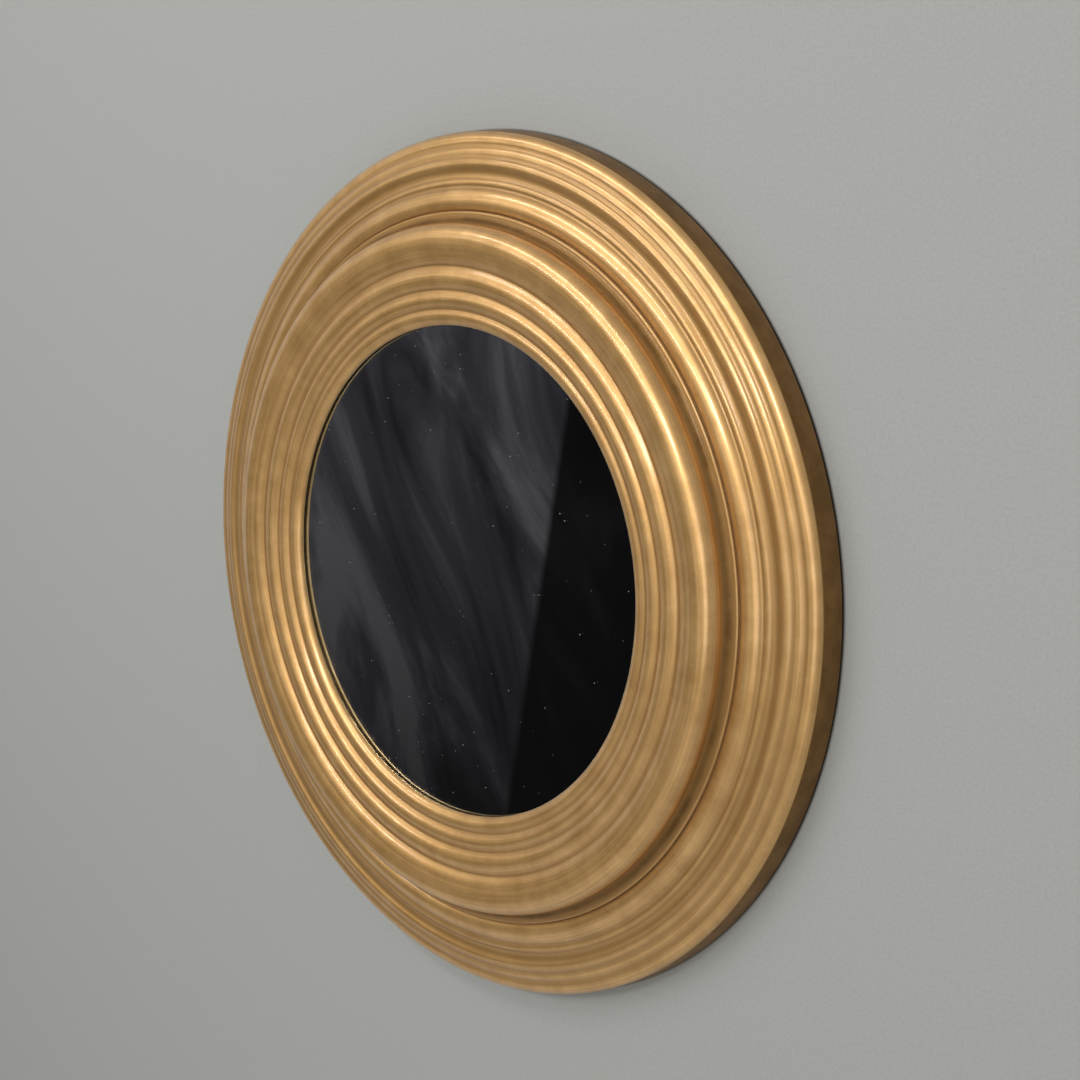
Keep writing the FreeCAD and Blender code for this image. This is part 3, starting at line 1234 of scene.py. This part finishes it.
@dataclass
class GlassStack:
    """The glass with its silvering, the card behind it and the board that closes the rebate."""
    glass: bpy.types.Material
    silver: bpy.types.Material
    coat: bpy.types.Material       # the paint that protects the silver
    card: bpy.types.Material
    hardboard: bpy.types.Material
    radius: float = 190.0
    seat: float = 27.0
    board_thickness: float = 3.0
    card_thickness: float = 2.0
    glass_thickness: float = 3.0
    film_thickness: float = 0.07
    air: float = 0.015             # on each side of the film, so that no two faces touch
    steps: int = 256

    def disc(self, name: str, low: float, high: float, arris: float) -> bpy.types.Object:
        """A disc with broken edges.

        Args:
            name: its name.
            low: height of its back.
            high: height of its front.
            arris: how wide its broken edges are.

        Returns:
            The disc.
        """
        outline = [(0.0, low), (self.radius - arris, low), (self.radius, low + arris),
                   (self.radius, high - arris), (self.radius - arris, high), (0.0, high)]
        return lathe(name, outline, self.steps)

    def build(self) -> None:
        """Cut the stack's sheets, and dress the card, which keeps its CAD shape."""
        glass_back = self.seat + self.board_thickness + self.card_thickness
        front = glass_back + self.glass_thickness
        plated = glass_back + self.air + self.film_thickness
        pane = self.disc("mirror_glass_pane", plated + self.air, front, 0.4)
        stand_for(pane, "mirror_glass", "mirror_glass", self.glass)
        film = self.disc("mirror_glass_silvering", glass_back + self.air, plated, 0.01)
        stand_for(film, "mirror_glass", "mirror_glass", self.silver, self.coat)
        for face in film.data.polygons:
            face.material_index = 1 if face.normal.y > -0.5 else 0
        board = self.disc("backing_board_sawn", self.seat, self.seat + self.board_thickness, 0.3)
        stand_for(board, "backing_board", "brown_hardboard", self.hardboard)
        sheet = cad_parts["cushion_sheet"]
        dress(sheet, (self.card,))
        LOG.info("cushion_sheet keeps its CAD shape")


@dataclass
class WallPads:
    """Four felt pads that keep the back off the wall."""
    felt: bpy.types.Material
    radius: float = 309.0
    pad_radius: float = 10.0
    thickness: float = 2.0
    round: Member = Member(0.5, -0.7, 0.12)        # the worn edge against the frame
    steps: int = 48

    def build(self) -> None:
        """Punch the pads."""
        top = (self.pad_radius - self.round.width, self.thickness)
        worn = [top, *self.round.points(top, 0.3)[:-1]]
        outline = [
            (0.0, 0.0), (top[0], 0.0), (self.pad_radius - 0.1, 0.35), (self.pad_radius,
            self.thickness + self.round.rise), *reversed(worn), (0.0, self.thickness)]
        first = lathe("wall_pad_0", outline, self.steps)
        for place, (x, z) in (("right", (1, 0)), ("top", (0, 1)), ("left", (-1, 0)),
                              ("bottom", (0, -1))):
            move = moved(x * self.radius, 0, z * self.radius)
            copied(first, f"wall_pad_{place}", "punched", move, "felt", self.felt)
        bpy.data.objects.remove(first)


# ---------------------------------------------------------------- the studio

@dataclass(frozen=True)
class Lamp:
    """A soft panel that looks at the mirror from a direction. Its sizes are in metres."""
    name: str
    azimuth: float                 # 0 is straight in front, and more is to the right
    elevation: float
    distance: float
    width: float
    height: float
    radiance: float                # 1 renders as white where it is seen

    def place(self) -> None:
        """Hang the panel."""
        out = direction(self.azimuth, self.elevation)
        light = bpy.data.lights.new(self.name, "AREA")
        light.shape, light.size, light.size_y = "RECTANGLE", self.width, self.height
        light.energy = self.radiance * math.pi * self.width * self.height
        lamp = bpy.data.objects.new(self.name, light)
        lamp.location = out * self.distance
        lamp.rotation_mode = "QUATERNION"
        lamp.rotation_quaternion = (-out).to_track_quat("-Z", "Y")
        bpy.context.collection.objects.link(lamp)


@dataclass
class Studio:
    """The wall, the floor, the dark cloth that the glass shows, the lamps and the camera, in
    metres."""
    floor: str = "#c9c9c6"
    beyond: str = "#d9d9d6"        # what the camera sees past the wall
    ambient: float = 0.46
    lamps: tuple[Lamp, ...] = (
        Lamp("upper strip", -20, 44, 2.4, 2.0, 0.11, 17.0),
        Lamp("lower strip", -16, 18, 2.4, 2.0, 0.11, 16.0),
        Lamp("key panel", 12, 21, 2.4, 0.4, 0.4, 16.0),
        Lamp("right panel", 32, -2, 2.4, 1.0, 1.3, 1.6),
        Lamp("broad panel", -14, 30, 2.9, 3.6, 2.0, 0.3),
        Lamp("panel behind", 180, 12, 2.6, 2.0, 2.0, 1.1))
    cloth_way: Place = (-45.0, -9.4)       # azimuth and elevation
    cloth_distance: float = 1.8
    cloth_height: float = 1.24
    cloth_narrow: float = 0.68             # its width, as a share of its height
    eye: Triple = (0.87944287, -0.82371494, 0.21680527)
    look: Triple = (80.78393985, 0.0, 44.93799004)     # the camera's turns, in degrees
    lens: float = 53.3333

    def sheet(self, name: str, size: float, place: Sequence[float], facing: Vector,
              material: bpy.types.Material, hide: Hide = Hide.NOTHING, narrow: float = 1.0) -> None:
        """A flat stage piece.

        Args:
            name: its name.
            size: its height.
            place: its middle.
            facing: the way it faces.
            material: its surface.
            hide: the rays that don't see it.
            narrow: its width as a share of its height.
        """
        piece = primitive(bpy.ops.mesh.primitive_plane_add, name, size=size, location=place)
        piece.scale = (narrow, 1, 1)
        bpy.ops.object.transform_apply(location=False, rotation=False, scale=True)
        piece.rotation_mode = "QUATERNION"
        piece.rotation_quaternion = facing.to_track_quat("Z", "Y")
        piece.data.materials.append(material)
        for setting in hide.value:
            setattr(piece, setting, False)

    def world(self) -> None:
        """An even grey room, pale where the camera looks past the wall."""
        world = bpy.data.worlds.new("room")
        world.use_nodes = True
        bpy.context.scene.world = world
        tree = world.node_tree
        room = tree.nodes["Background"]
        fill(room, {"Color": grey(1.0), "Strength": self.ambient})
        pale = add_node(tree, "Background", {"Color": srgb(self.beyond), "Strength": 1.0})
        seen = add_node(tree, "LightPath").outputs["Is Camera Ray"]
        mix = add_node(tree, "MixShader", {0: seen, 1: room, 2: pale})
        fill(tree.nodes["World Output"], {"Surface": mix})

    def camera(self) -> None:
        """A camera where the photograph was taken from, with its lens."""
        camera = bpy.data.cameras.new("camera")
        camera.sensor_width, camera.lens, camera.clip_start = 36.0, self.lens, 0.01
        eye = bpy.data.objects.new("camera", camera)
        eye.location = self.eye
        eye.rotation_euler = [math.radians(turn) for turn in self.look]
        bpy.context.collection.objects.link(eye)
        bpy.context.scene.camera = eye

    def build(self) -> None:
        """Set up the whole studio."""
        self.sheet(
            "wall", 8.0, (0, 0, 0), Vector((0, -1, 0)), WallPlaster().material(), Hide.OPEN_BACK)
        ground, _, shader, _ = new_material("pale painted floor")
        fill(shader, {"Base Color": srgb(self.floor), "Roughness": 0.7})
        self.sheet("floor", 12.0, (0, 0, -1.3), Vector((0, 0, 1)), ground)
        out = direction(*self.cloth_way)
        self.sheet("cloth", self.cloth_height, out * self.cloth_distance, -out,
                   StudioCloth().material(), Hide.MIRROR_ONLY, self.cloth_narrow)
        for lamp in self.lamps:
            lamp.place()
        self.world()
        self.camera()
        bpy.context.scene.view_settings.view_transform = "Standard"
        LOG.info("studio set up with %d lamps", len(self.lamps))


# ---------------------------------------------------------------- the whole mirror


def main() -> None:
    """Build the mirror, sub-assembly by sub-assembly, and the studio round it."""
    logging.basicConfig(level=logging.INFO, format="%(name)s: %(message)s")
    gold = AntiqueGoldPaint().material()
    wood = BareLimewood().material()
    zinc = ZincPlate().material()
    plates = HangingPlates(zinc)
    Frame(gold, wood, zinc, plates).build()
    plates.build()
    TurnButtons(zinc).build()
    coat = PlainCoat("grey mirror backing paint", "#7d8286", "#6a6f73", 40, 1.2, 0.6, 0.02)
    card = PlainCoat("grey card", "#8a8782", "#74716c", 30, 0.8, 0.9, 0.05)
    board = PlainCoat("oiled hardboard", "#7a5538", "#54371f", 35, 1.6, 0.55, 0.06)
    GlassStack(FloatGlass().material(), Silvering().material(), coat.material(), card.material(),
               board.material()).build()
    WallPads(PressedFelt().material()).build()
    Studio().build()


if __name__ == "__main__":
    main()
